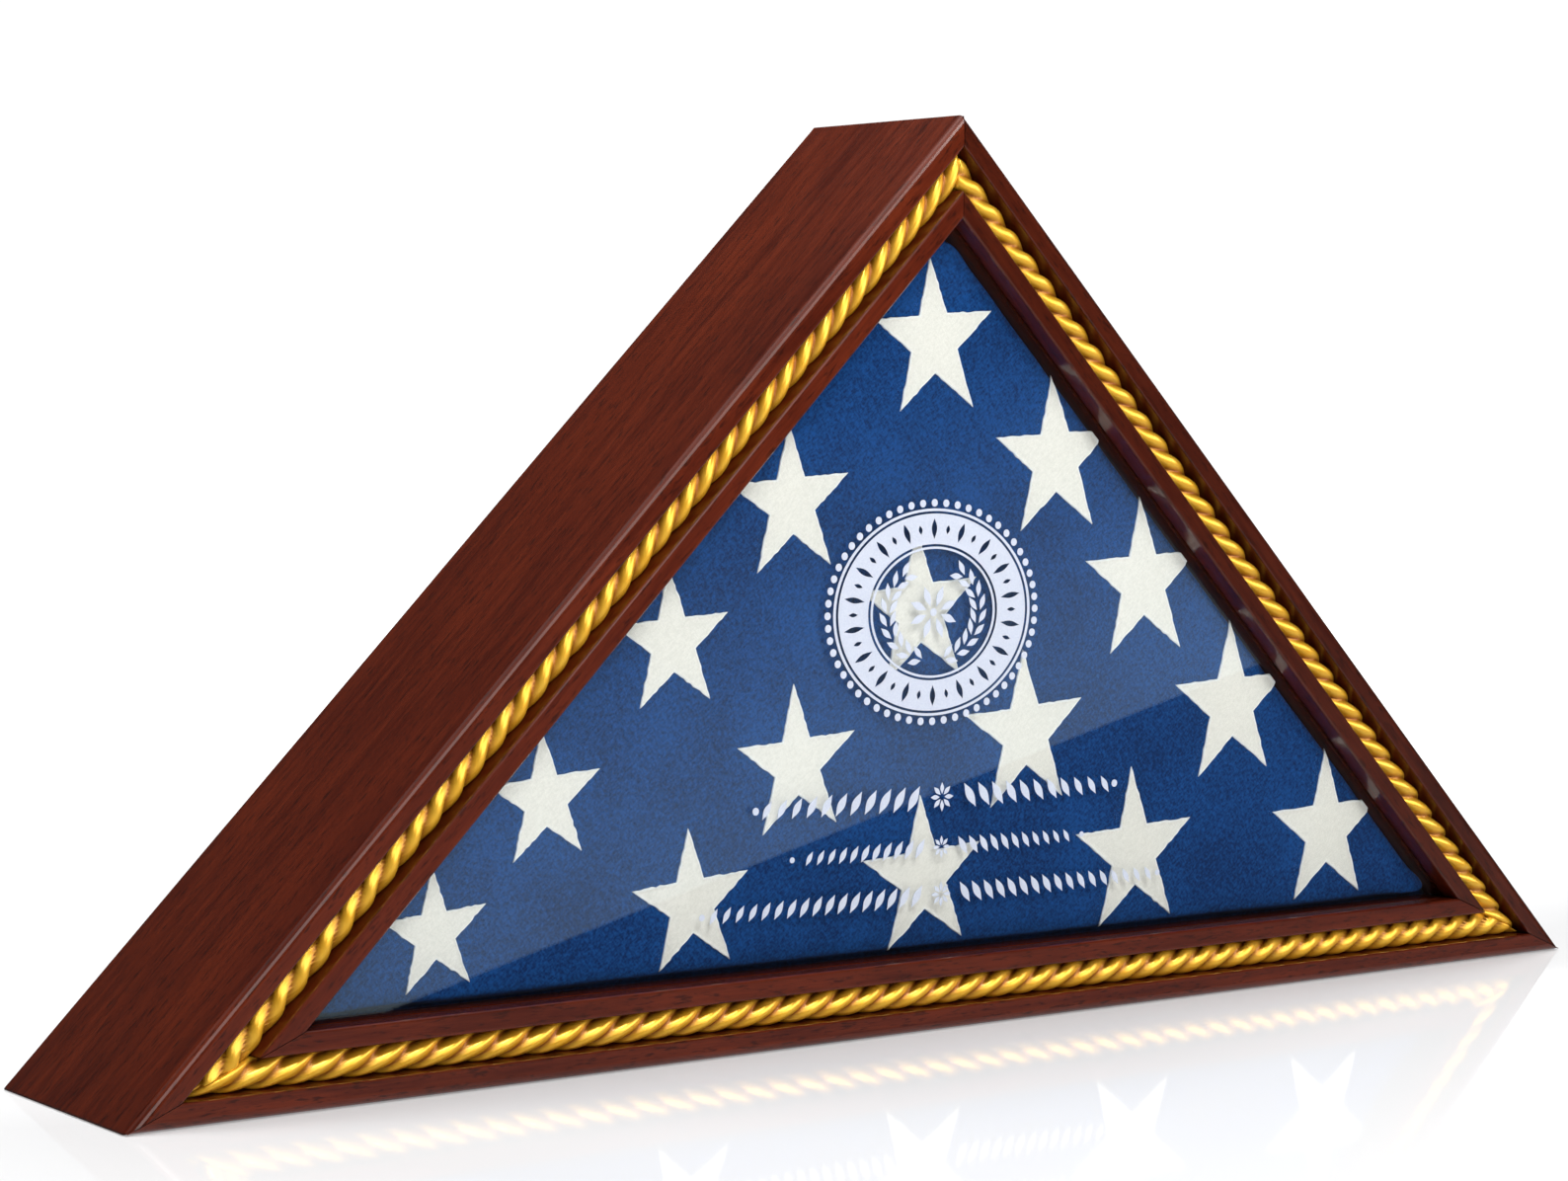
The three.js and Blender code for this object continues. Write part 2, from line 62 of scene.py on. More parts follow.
# the glass, and the etching on its front
GLASS_FRONT_Y = FRONT_Y + 8.1 * MM
ETCH_RAISE = 0.06 * MM
ETCH_SINK = 0.1 * MM
MEDALLION_CENTRE = (-5.0 * MM, 148.9 * MM)
MEDALLION_RADIUS = 40.5 * MM  # half its height
MEDALLION_WIDENING = 1.22  # an upright-set oval, wider than high

# the flag; its depths are from the front plane, its insets from the outer faces
FLAG_FIELD_DEPTH = 11.4 * MM
FLAG_LEAST_DEPTH = 11.15 * MM  # as near the glass as its front may come
FLAG_BACK_DEPTH = 72.2 * MM
FLAG_BACK_SPARE = 0.4 * MM  # how far its back may stand out past that
FLAG_STOPS_DEPTH = 20.4 * MM  # just behind the bezel and the glass stops
FLAG_STOPS_INSET = 26.6 * MM  # its least inset beside the glass stops
FLAG_BOARDS_INSET = 19.9 * MM  # its least inset beside the boards
# the neck between the glass stops: (depth, inset) in mm, from the front rim back
FLAG_NECK = ((11.4, 28.3), (11.8, 27.4), (12.9, 26.9), (16.5, 26.8), (19.6, 26.8), (21.0, 23.0))
FLAG_WALL_START = 22.6 * MM
FLAG_WALL_END = 70.2 * MM
FLAG_WALL_INSET = 20.4 * MM
FLAG_FOLDS = 6
FLAG_FOLD_DEPTH = 1.9 * MM
FLAG_BACK_RIM = ((0.6, 3.4), (0.0, 7.0))  # (short of the back, inset past the wall's) in mm
FLAG_GRID = 72  # steps along each side
FLAG_CORNER_EASE = 5 * MM  # how far a corner is drawn in
FLAG_CORNER_REACH = 14 * MM  # how far from a corner that starts
FLAG_WAVE = 0.28 * MM  # height of the broad waves in its front
FLAG_RIPPLE = 0.07 * MM  # and of the fine ones
SWELL_CAP = 1.6 * MM
SWELL_FRAMES = 14
FLAP_INSET = 26 * MM
FLAP_THICKNESS = 2.8 * MM
FLAP_TUCK = 0.42  # where the flap's edge meets the right leg, as a share of the way up

# the stars: for each row, how many, their spacing, the row's middle, and its rise to the right
STAR_ROWS = (
    (5, 101.8 * MM, (-6 * MM, 53.8 * MM), 0.016),
    (4, 104.2 * MM, (-11 * MM, 100.4 * MM), 0.055),
    (3, 107.5 * MM, (-9 * MM, 149.5 * MM), 0.07),
    (2, 120.6 * MM, (-6.3 * MM, 195.7 * MM), 0.12),
    (1, 0.0, (-4 * MM, 245.4 * MM), 0.0),
)
STAR_RADIUS = 28.6 * MM
STAR_WAIST = 0.385  # inner corners, as a share of the radius
STAR_EDGE_INSET = 27.8 * MM  # the least inset of a star's edge from the legs' outer faces
STAR_STRETCH = 1.05  # the stars' height against their width
STAR_LEAST_DEPTH = 10.3 * MM  # as near the glass as a star may come, from the front plane
STAR_SINK = 0.5 * MM  # how far behind the flag's front the cloth under a star may lie
STAR_FRAY = 0.30 * MM  # unevenness of a star's edges

# the lines of ornament under the medallion: height, width and size of the leaves
FLOURISHES = (
    (82.5 * MM, 158 * MM, 10.5 * MM),
    (64.5 * MM, 128 * MM, 8.0 * MM),
    (47.5 * MM, 204 * MM, 9.0 * MM),
)

# the camera, at the photograph's viewing angle
CAMERA_PLACE = (-0.80466, -1.01144, 0.22851)
CAMERA_YAW = math.radians(36.92)  # turned to the right of +Y
CAMERA_PITCH = math.radians(-3.287)
CAMERA_ROLL = math.radians(0.549)
CAMERA_LENS = 81.4  # in mm, as is the sensor
CAMERA_SENSOR = 36


# ---------------------------------------------------------------- small tools
def corners(inset):
    """The left, right and top corner, as (x, z), of the triangle set in by inset on all sides."""
    reach = HALF_WIDTH - inset / math.tan(BASE_MITRE)
    return (-reach, inset), (reach, inset), (0.0, HEIGHT - inset / math.sin(APEX_MITRE))


def piece(name, points, faces, materials, body, smooth=True):
    """A mesh object that rides on a CAD body, with the materials it is given."""
    mesh = bpy.data.meshes.new(name)
    mesh.from_pydata(points, [], faces)
    mesh.validate()
    for material in materials:
        mesh.materials.append(material)
    for face in mesh.polygons:
        face.use_smooth = smooth
    obj = bpy.data.objects.new(name, mesh)
    bpy.context.scene.collection.objects.link(obj)
    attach(obj, body)
    return obj


def smoothstep(low, high, value):
    """0 below low, 1 above high, smooth between."""
    share = min(1.0, max(0.0, (value - low) / (high - low)))
    return share * share * (3 - 2 * share)


class Nodes:
    """A node tree and short ways to add to it."""

    def __init__(self, owner):
        owner.use_nodes = True
        self.tree = owner.node_tree

    def put(self, socket, value):
        """Sets a socket to a constant, or links it to another node's output."""
        if isinstance(value, bpy.types.NodeSocket):
            self.tree.links.new(value, socket)
        else:
            socket.default_value = value

    def node(self, kind, values=None, **settings):
        """A new shader node with its settings and its inputs, by name or number."""
        node = self.tree.nodes.new("ShaderNode" + kind)
        for key, setting in settings.items():
            setattr(node, key, setting)
        for key, value in (values or {}).items():
            self.put(node.inputs[key], value)
        return node

    def place(self, turn=0.0, stretch=(1, 1, 1)):
        """Object coordinates, turned about Y and then stretched along each axis."""
        where = self.node("TexCoord").outputs["Object"]
        turned = self.node("VectorRotate", {"Vector": where, "Axis": (0, 1, 0), "Angle": turn})
        return self.node("Mapping", {"Vector": turned.outputs[0], "Scale": stretch}).outputs[0]

    def noise(self, where, scale=1.0, detail=2.0, roughness=0.5, distortion=0.0):
        """A noise texture's value, from 0 to 1."""
        values = {
            "Vector": where,
            "Scale": scale,
            "Detail": detail,
            "Roughness": roughness,
            "Distortion": distortion,
        }
        return self.node("TexNoise", values).outputs[0]

    def span(self, value, from_low, from_high, to_low=0.0, to_high=1.0):
        """value, moved from one range to another, and kept inside it."""
        values = {
            "Value": value,
            "From Min": from_low,
            "From Max": from_high,
            "To Min": to_low,
            "To Max": to_high,
        }
        return self.node("MapRange", values).outputs[0]

    def math(self, operation, first, second):
        """Two values put together."""
        return self.node("Math", {0: first, 1: second}, operation=operation).outputs[0]

    def mix(self, share, first, second):
        """Two colours mixed; share is how much of the second shows."""
        node = self.node("Mix", data_type="RGBA")
        self.put(node.inputs[0], share)
        self.put(node.inputs[6], first)
        self.put(node.inputs[7], second)
        return node.outputs[2]


class Material(Nodes):
    """A material with one Principled shader. Constant values are set on the shader's own sockets."""

    def __init__(self, name, values):
        self.data = bpy.data.materials.new(name)
        super().__init__(self.data)
        self.shader = self.tree.nodes["Principled BSDF"]
        for key, value in values.items():
            self.put(self.shader.inputs[key], value)

    def relief(self, height, distance, strength=1.0, edge=None):
        """Raises the surface by distance where height is 1, and rounds its corners to radius edge."""
        values = {"Height": height, "Distance": distance, "Strength": strength}
        if edge:
            values["Normal"] = self.node("Bevel", {"Radius": edge}, samples=4).outputs[0]
        self.put(self.shader.inputs["Normal"], self.node("Bump", values).outputs[0])


# ---------------------------------------------------------------- materials
def lacquered_wood(name, turn, tone):
    """Mahogany-stained wood under satin lacquer.

    turn brings the grain's direction to X; tone scales all the wood's colours, and where it is below 1
    it is painted shade that darkens the whole board.
    """

    # a wood colour times tone: on the right board this is painted shade
    def stain_and_painted_shade(*colour):
        return (*(tone * part for part in colour), 1)

    m = Material(name, {"Coat Weight": 1.0, "Coat Roughness": 0.12, "Specular IOR Level": 0.25})
    m.put(m.shader.inputs["Specular Tint"], (1.0, 0.42, 0.28, 1))
    figure = m.noise(m.place(turn, (10, 60, 60)), detail=4, distortion=0.8)
    streaks = m.noise(m.place(turn, (26, 420, 420)), detail=4, roughness=0.7)
    pores = m.noise(m.place(turn, (150, 900, 900)), detail=2, roughness=0.7)
    patches = m.noise(m.place(turn), scale=14, detail=3)
    bands = m.math("ADD", m.math("MULTIPLY", figure, 0.35), m.math("MULTIPLY", streaks, 0.65))
    warm = m.mix(m.span(bands, 0.38, 0.62), stain_and_painted_shade(0.070, 0.0075, 0.0020), stain_and_painted_shade(0.150, 0.0190, 0.0040))
    mottled = m.mix(m.span(patches, 0.38, 0.7, 0.0, 0.35), warm, stain_and_painted_shade(0.078, 0.0082, 0.0028))
    dark_pores = m.span(pores, 0.55, 0.68, 0.0, 0.75)
    m.put(m.shader.inputs["Base Color"], m.mix(dark_pores, mottled, stain_and_painted_shade(0.020, 0.0034, 0.0018)))
    m.put(m.shader.inputs["Roughness"], m.span(streaks, 0.3, 0.7, 0.34, 0.5))
    grain = m.math("SUBTRACT", streaks, m.math("MULTIPLY", dark_pores, 1.2))
    m.relief(grain, 0.04 * MM, 0.35, edge=0.45 * MM)
    return m.data


def gilded():
    """Polished gold on the rope, bright on the strands' crowns and darkened into the grooves as painted
    shade.
    """
    m = Material("gold", {"Metallic": 0.6, "Coat Weight": 0.35, "Coat Roughness": 0.15})
    crown = m.node("Attribute", attribute_name="crown").outputs["Fac"]
    wear = m.noise(m.place(), scale=150, detail=2)
    bright = m.mix(m.span(wear, 0.3, 0.75), (1.0, 0.50, 0.024, 1), (1.0, 0.57, 0.050, 1))
    # depth runs from the grooves to the crowns; the dark groove colour is painted shade in the rope's
    # hollows
    depth = m.span(crown, 0.05, 0.75)
    m.put(m.shader.inputs["Base Color"], m.mix(depth, (0.30, 0.072, 0.002, 1), bright))
    m.put(m.shader.inputs["Roughness"], m.span(crown, 0.0, 0.8, 0.5, 0.32))
    return m.data


def clear_glass():
    """Thin window glass: clear straight on, mirroring more at a slant."""
    refraction = 1.5
    m = Material("glass", {})
    m.tree.nodes.remove(m.shader)
    through = m.node("BsdfTransparent", {"Color": (0.975, 0.985, 0.98, 1)})
    mirror = m.node("BsdfAnisotropic", {"Color": (1, 1, 1, 1), "Roughness": 0.0})
    inside = m.node("NewGeometry").outputs["Backfacing"]
    index = m.span(inside, 0, 1, refraction, 1 / refraction)
    share = m.node("Fresnel", {"IOR": index}).outputs[0]
    both = m.node("MixShader", {0: share, 1: through.outputs[0], 2: mirror.outputs[0]})
    m.put(m.tree.nodes["Material Output"].inputs["Surface"], both.outputs[0])
    return m.data


def frosted_etching():
    """Frosted white of an etched line on glass."""
    m = Material("etching", {"Alpha": 0.86, "Specular IOR Level": 0.2})
    grit = m.noise(m.place(), scale=1800, detail=2)
    m.put(m.shader.inputs["Base Color"], m.mix(grit, (0.62, 0.68, 0.84, 1), (0.84, 0.88, 0.97, 1)))
    m.put(m.shader.inputs["Roughness"], m.span(grit, 0.2, 0.8, 0.55, 0.8))
    m.relief(grit, 0.02 * MM, 0.5)
    return m.data


def twill(name, deep, pale, hem=None):
    """Cotton twill: fine slanting ribs crossed by a finer weft, with soft uneven dye."""
    m = Material(name, {"Roughness": 0.86, "Specular IOR Level": 0.15})
    m.put(m.shader.inputs["Sheen Weight"], 0.04)
    m.put(m.shader.inputs["Sheen Roughness"], 0.6)
    slant = math.radians(38)
    ribs = m.noise(m.place(slant, (520, 1000, 1300)), detail=2, roughness=0.6)
    weft = m.noise(m.place(slant + math.radians(90), (700, 1200, 1500)), detail=1)
    dye = m.noise(m.place(), scale=26, detail=3)
    weave = m.math("ADD", m.math("MULTIPLY", ribs, 0.6), m.math("MULTIPLY", weft, 0.4))
    shade = m.math("ADD", m.math("MULTIPLY", weave, 0.75), m.math("MULTIPLY", dye, 0.25))
    colour = m.mix(m.span(shade, 0.40, 0.60), deep, pale)
    if hem:
        edge = m.node("Attribute", attribute_name="hem").outputs["Fac"]
        colour = m.mix(m.span(edge, 0.2, 0.9), colour, hem)
    m.put(m.shader.inputs["Base Color"], colour)
    m.relief(weave, 0.18 * MM, 0.7)
    return m.data


def worn_metal(name, colour, dull, roughness):
    """Brushed metal, duller in patches."""
    m = Material(name, {"Metallic": 1.0})
    brushed = m.noise(m.place(stretch=(120, 120, 1900)), detail=2)
    patches = m.noise(m.place(), scale=160, detail=3)
    m.put(m.shader.inputs["Base Color"], m.mix(m.span(patches, 0.35, 0.7), colour, dull))
    m.put(m.shader.inputs["Roughness"], m.span(brushed, 0.3, 0.7, roughness, roughness + 0.16))
    m.relief(brushed, 0.02 * MM, 0.4, edge=0.15 * MM)
    return m.data


def bare_board(name, light, dark):
    """Unlacquered or thinly painted board with a fine straight grain along X."""
    m = Material(name, {"Specular IOR Level": 0.3})
    grain = m.noise(m.place(stretch=(14, 300, 300)), detail=4, roughness=0.65)
    broad = m.noise(m.place(stretch=(5, 60, 60)), detail=2, distortion=0.5)
    tone = m.math("ADD", m.math("MULTIPLY", grain, 0.7), m.math("MULTIPLY", broad, 0.3))
    m.put(m.shader.inputs["Base Color"], m.mix(m.span(tone, 0.38, 0.62), dark, light))
    m.put(m.shader.inputs["Roughness"], m.span(grain, 0.3, 0.7, 0.5, 0.68))
    m.relief(grain, 0.05 * MM, 0.4, edge=0.3 * MM)
    return m.data


def dress_cad_nodes():
    """Gives every CAD node that stays in sight its finish, by its slot in the record."""
    slant = math.radians(45)
    boards = {"left": (slant, 1.0), "right": (-slant, 0.62), "base": (0.0, 1.0)}  # (turn, tone); the right board's tone of 0.62 is painted shade, a darker copy of the same wood
    # one material per board; the right one is a darker copy of the others, darkened as painted shade
    wood = {
        side: lacquered_wood("mahogany_" + side, turn, tone)
        for side, (turn, tone) in boards.items()
    }
    finishes = {
        "plain_wood": bare_board("plain_wood", (0.42, 0.24, 0.12, 1), (0.25, 0.13, 0.06, 1)),
        "door_board": bare_board("door_board", (0.100, 0.026, 0.011, 1), (0.036, 0.010, 0.005, 1)),
        "glass": clear_glass(),
        "brass": worn_metal("brass", (0.80, 0.55, 0.22, 1), (0.62, 0.40, 0.15, 1), 0.24),
        "steel": worn_metal("steel", (0.60, 0.60, 0.61, 1), (0.44, 0.44, 0.45, 1), 0.26),
    }
    for name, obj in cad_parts.items():
        for held in obj.material_slots:
            slot = held.material.name
            if slot == "mahogany":
                side = next(s for s in boards if s in name)
                held.material = wood[side]
            elif slot in finishes:
                held.material = finishes[slot]
    return wood


def build_glue_lines(wood):
    """The thin dark glue lines in the three mitres of the case."""
    half_thickness = 0.13 * MM
    section = (  # (inset, depth) in mm round the boards' cut ends, just inside their faces
        (0.4, 0.6),
        (7.6, 0.6),
        (7.6, 13.4),
        (18.1, 13.4),
        (18.1, 81.8),
        (13.2, 81.8),
        (13.2, 87.4),
        (0.4, 87.4),
    )
    for number, name in enumerate(("left", "right", "apex")):
        outer, inner = (Vector(corners(inset)[number]) for inset in (0, 18 * MM))
        across = (inner - outer).orthogonal().normalized() * half_thickness
        points = []
        for side in (-1, 1):
            for inset, depth in section:
                x, z = Vector(corners(inset * MM)[number]) + side * across
                points.append((x, FRONT_Y + depth * MM, z))
        count = len(section)
        faces = [tuple(range(count)), tuple(reversed(range(count, 2 * count)))]
        for step in range(count):
            after = (step + 1) % count
            faces.append((step, step + count, after + count, after))
        piece("glue_line_" + name, points, faces, [wood], "case", smooth=False)


# ---------------------------------------------------------------- rope trim
def strand_outline(angle):
    """Radius of the rope's cross-section of joined strands, at an angle from the first strand."""
    sector = 2 * math.pi / STRAND_COUNT
    off = (angle + sector / 2) % sector - sector / 2
    centre = ROPE_RADIUS - STRAND_RADIUS
    return centre * math.cos(off) + math.sqrt(STRAND_RADIUS**2 - (centre * math.sin(off)) ** 2)


def rope_strip(name, start, end, start_mitre, end_mitre, node, gold):
    """A twisted rope from one corner of the triangle to the next, mitred at both ends."""
    start, end = Vector((start[0], 0, start[1])), Vector((end[0], 0, end[1]))
    along = (end - start).normalized()
    inward = Vector((-along.z, 0, along.x))
    length = (end - start).length
    ring_spacing = 1.1 * MM
    rings = round(length / ring_spacing)
    around = 12 * STRAND_COUNT
    trough = strand_outline(math.pi / STRAND_COUNT)

    def reach(offset, share):
        """How far along a point lies that is offset inwards, at a share of the way between mitres."""
        first = offset / math.tan(start_mitre) + ROPE_GAP / math.sin(start_mitre)
        last = length - offset / math.tan(end_mitre) - ROPE_GAP / math.sin(end_mitre)
        return first + share * (last - first)

    points, crowns = [], []
    for ring in range(rings + 1):
        share = ring / rings
        for step in range(around):
            # the rows of points turn with the strands, so that the grooves stay sharp
            angle = 2 * math.pi * (step / around - share * length / ROPE_LAY)
            place = reach(0.8 * ROPE_RADIUS * math.cos(angle), share)
            radius = strand_outline(angle + 2 * math.pi * place / ROPE_LAY)
            offset = radius * math.cos(angle)
            point = start + along * reach(offset, share) + inward * offset
            point.y = FRONT_Y + ROPE_DEPTH - radius * math.sin(angle)
            points.append(point)
            crowns.append((radius - trough) / (ROPE_RADIUS - trough))
    faces = [tuple(range(around)), tuple(reversed(range(rings * around, (rings + 1) * around)))]
    for ring in range(rings):
        for step in range(around):
            a, b = ring * around + step, ring * around + (step + 1) % around
            faces.append((a, a + around, b + around, b))
    obj = piece(name, points, faces, [gold], "case")
    crown = obj.data.attributes.new("crown", "FLOAT", "POINT")
    crown.data.foreach_set("value", crowns)
    obj.visible_diffuse = False  # keeps the light that gilds it off the wood beside it
    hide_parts(node)
    return obj


def build_rope(gold):
    """The three strips of twisted gold rope."""
    left, right, top = corners(ROPE_INSET)
    return (
        rope_strip("rope_base", left, right, BASE_MITRE, BASE_MITRE, "rope_trim_base", gold),
        rope_strip("rope_right", right, top, BASE_MITRE, APEX_MITRE, "rope_trim_right", gold),
        rope_strip("rope_left", top, left, APEX_MITRE, BASE_MITRE, "rope_trim_left", gold),
    )


# ---------------------------------------------------------------- folded flag
def flag_stations():
    """(y, inset) of each ring of the flag's sides, from the front rim to the back rim."""
    stations = [(depth * MM, inset * MM) for depth, inset in FLAG_NECK]
    steps = 4
    for step in range(FLAG_FOLDS * steps + 1):
        share = step / (FLAG_FOLDS * steps)
        depth = FLAG_WALL_START + share * (FLAG_WALL_END - FLAG_WALL_START)
        crease = 1 - abs(math.sin(math.pi * step / steps))
        stations.append((depth, FLAG_WALL_INSET + FLAG_FOLD_DEPTH * crease))
    for short, extra in FLAG_BACK_RIM:
        stations.append((FLAG_BACK_DEPTH - short * MM, FLAG_WALL_INSET + extra * MM))
    return [(FRONT_Y + depth, inset) for depth, inset in stations]


def flag_limit(y):
    """The least inset that the flag may have at y: clear of the glass stops, then of the boards."""
    return FLAG_STOPS_INSET if y < FRONT_Y + FLAG_STOPS_DEPTH else FLAG_BOARDS_INSET


def ring_points(y, inset):
    """Points round one ring of the flag, FLAG_GRID steps to a side, with eased corners."""
    ring = []
    places = corners(inset)
    middle = Vector((0, HEIGHT * 0.4))
    for side in range(3):
        a, b = Vector(places[side]), Vector(places[(side + 1) % 3])
        for step in range(FLAG_GRID):
            share = step / FLAG_GRID
            point = a.lerp(b, share)
            near = min(share, 1 - share) * (b - a).length
            ease = FLAG_CORNER_EASE * max(0.0, 1 - near / FLAG_CORNER_REACH) ** 2
            point += (middle - point).normalized() * ease
            ring.append(Vector((point.x, y, point.y)))
    return ring


def cap_points(y, rim):
    """The inner points of a cap, as a triangular grid inside its rim, and each one's number."""
    n = FLAG_GRID
    left, right, top = rim[0], rim[n], rim[2 * n]
    inner, index = [], {}
    for row in range(1, n - 1):
        for column in range(1, n - row):
            u, v = column / n, row / n
            point = left * (1 - u - v) + right * u + top * v
            point.y = y
            index[(column, row)] = len(inner)
            inner.append(point)
    return inner, index


def cap_faces(rim_start, inner_start, index, flip):
    """The triangles of a cap, between its rim points and its inner points."""
    n = FLAG_GRID

    def at(column, row):
        if row == 0:
            return rim_start + column
        if column + row == n:
            return rim_start + n + row
        if column == 0:
            return rim_start + (3 * n - row) % (3 * n)
        return inner_start + index[(column, row)]

    faces = []
    for row in range(n):
        for column in range(n - row):
            faces.append((at(column, row), at(column + 1, row), at(column, row + 1)))
            if column + row < n - 1:
                faces.append((at(column + 1, row), at(column + 1, row + 1), at(column, row + 1)))
    return [tuple(reversed(face)) for face in faces] if flip else faces


def flag_mesh():
    """Points and faces of the folded bundle before it swells: front cap, pleated sides, back cap."""
    stations = flag_stations()
    rings = [ring_points(y, inset) for y, inset in stations]
    around = 3 * FLAG_GRID
    points = [point for ring in rings for point in ring]
    faces = []
    for ring in range(len(rings) - 1):
        for step in range(around):
            a, b = ring * around + step, ring * around + (step + 1) % around
            faces.append((a, a + around, b + around, b))
    front, index = cap_points(FRONT_Y + FLAG_FIELD_DEPTH, rings[0])
    faces += cap_faces(0, len(points), index, False)
    points += front
    back, index = cap_points(FRONT_Y + FLAG_BACK_DEPTH, rings[-1])
    faces += cap_faces((len(rings) - 1) * around, len(points), index, True)
    points += back
    return points, faces


def swell(obj):
    """Lets the cloth fill out under a little pressure, with no point moving past SWELL_CAP."""
    scene = bpy.context.scene
    rest = [v.co.copy() for v in obj.data.vertices]
    cloth = obj.modifiers.new("cloth", "CLOTH")
    cloth.settings.quality = 4
    cloth.settings.mass = 0.25
    cloth.settings.tension_stiffness = 12
    cloth.settings.compression_stiffness = 12
    cloth.settings.shear_stiffness = 4
    cloth.settings.bending_stiffness = 0.4
    cloth.settings.use_pressure = True
    cloth.settings.uniform_pressure_force = 3
    cloth.settings.effector_weights.gravity = 0
    cloth.collision_settings.use_collision = False
    for step in range(1, SWELL_FRAMES + 1):
        scene.frame_set(step)
    settled = obj.evaluated_get(bpy.context.evaluated_depsgraph_get()).data
    moved = [v.co.copy() for v in settled.vertices]
    obj.modifiers.remove(cloth)
    scene.frame_set(1)
    for vertex, before, after in zip(obj.data.vertices, rest, moved):
        move = after - before
        if move.length > SWELL_CAP:
            move *= SWELL_CAP / move.length
        vertex.co = before + move


def sculpt_flag(obj):
    """Soft waves in the front, a flat back, and nothing outside the bundle's room."""
    front = FRONT_Y + 12 * MM  # whatever lies before this is the front
    for vertex in obj.data.vertices:
        x, y, z = vertex.co
        if y < front:
            wave = math.sin(21 * x + 9 * z) * math.sin(17 * z - 6 * x)
            ripple = math.sin(95 * (x + 0.6 * z)) * math.sin(31 * z)
            y += FLAG_WAVE * wave + FLAG_RIPPLE * ripple
            y = max(y, FRONT_Y + FLAG_LEAST_DEPTH)
        y = min(y, FRONT_Y + FLAG_BACK_DEPTH + FLAG_BACK_SPARE)
        limit = flag_limit(y)
        z = max(z, limit)
        for sign in (-1, 1):
            room = ((HALF_WIDTH - sign * x) - z) * math.sin(APEX_MITRE)
            if room < limit:
                x -= sign * (limit - room) * math.sin(APEX_MITRE)
                z -= (limit - room) * math.sin(APEX_MITRE)
        vertex.co = (x, y, z)


def build_flag(blue):
    """The folded bundle, which has no stars and no flap yet."""
    points, faces = flag_mesh()
    obj = piece("flag", points, faces, [blue], "case")
    swell(obj)
    sculpt_flag(obj)
    soft = obj.modifiers.new("soft", "SUBSURF")
    soft.levels = soft.render_levels = 1
    return obj


# ---------------------------------------------------------------- stars and flap
def patch(outline, centre, layers, lifted, flip=False):
    """Points and faces of a flat patch of cloth, built from its rim to its centre in layers.

    A layer is (share of the way out, lift). lifted turns a flat place and a lift into a point.
    """
    count = len(outline)
    points = [lifted(centre.lerp(flat, share), lift) for share, lift in layers for flat in outline]
    points.append(lifted(centre, layers[-1][1]))
    faces = [tuple(reversed(range(count)))]
    for layer in range(len(layers) - 1):
        for step in range(count):
            a, b = layer * count + step, layer * count + (step + 1) % count
            faces.append((a, b, b + count, a + count))
    last = (len(layers) - 1) * count
    for step in range(count):
        faces.append((last + step, last + (step + 1) % count, len(points) - 1))
    return points, [tuple(reversed(face)) for face in faces] if flip else faces


def build_flap(blue):
    """The flag's last fold, tucked across its back from the left corner."""
    left, right, top = (Vector(place) for place in corners(FLAP_INSET))
    tuck = right.lerp(top, FLAP_TUCK)
    centre = (left + right + tuck) / 3
    outline = []
    steps = 40
    for a, b in ((left, right), (right, tuck), (tuck, left)):
        outline += [a.lerp(b, step / steps) for step in range(steps)]

    def lifted(flat, lift):
        loft = 1 + 0.4 * math.sin(26 * flat.x + 14 * flat.y) * math.sin(19 * flat.y)
        return Vector((flat.x, FRONT_Y + FLAG_BACK_DEPTH + lift * loft, flat.y))

    layers = [(1.0, -1.2 * MM), (1.0, 1.6 * MM), (0.996, 2.3 * MM), (0.988, 2.7 * MM)]
    layers += [(share / 40, FLAP_THICKNESS) for share in range(39, 6, -4)]
    points, faces = patch(outline, centre, layers, lifted, flip=True)
    return piece("flap", points, faces, [blue], "case")


def trimmed(point, centre):
    """A point of a star, drawn towards the star's centre if it lies outside the field."""
    for sign in (-1, 1):
        room, middle = (
            (HALF_WIDTH - sign * p.x - p.y) * math.sin(APEX_MITRE) for p in (point, centre)
        )
        if room < STAR_EDGE_INSET:
            point = centre.lerp(point, (middle - STAR_EDGE_INSET) / (middle - room))
    return point


def star_outline(centre, size, tilt, wobble):
    """Points round a five-pointed star, slightly uneven, with extra points along each edge."""
    tips = []
    for corner in range(10):
        reach = size if corner % 2 == 0 else size * STAR_WAIST
        reach *= 1 + wobble.uniform(-0.02, 0.02)
        angle = math.pi / 2 + tilt + corner * math.pi / 5 + wobble.uniform(-0.015, 0.015)
        tips.append(Vector((reach * math.cos(angle), STAR_STRETCH * reach * math.sin(angle))))
    outline = []
    steps = 11
    for corner in range(10):
        a, b = tips[corner], tips[(corner + 1) % 10]
        normal = Vector((b.y - a.y, a.x - b.x)).normalized()
        for step in range(steps):
            share = step / steps
            uneven = wobble.uniform(-1, 1) * STAR_FRAY * math.sin(math.pi * share)
            outline.append(trimmed(centre + a.lerp(b, share) + normal * uneven, centre))
    return outline


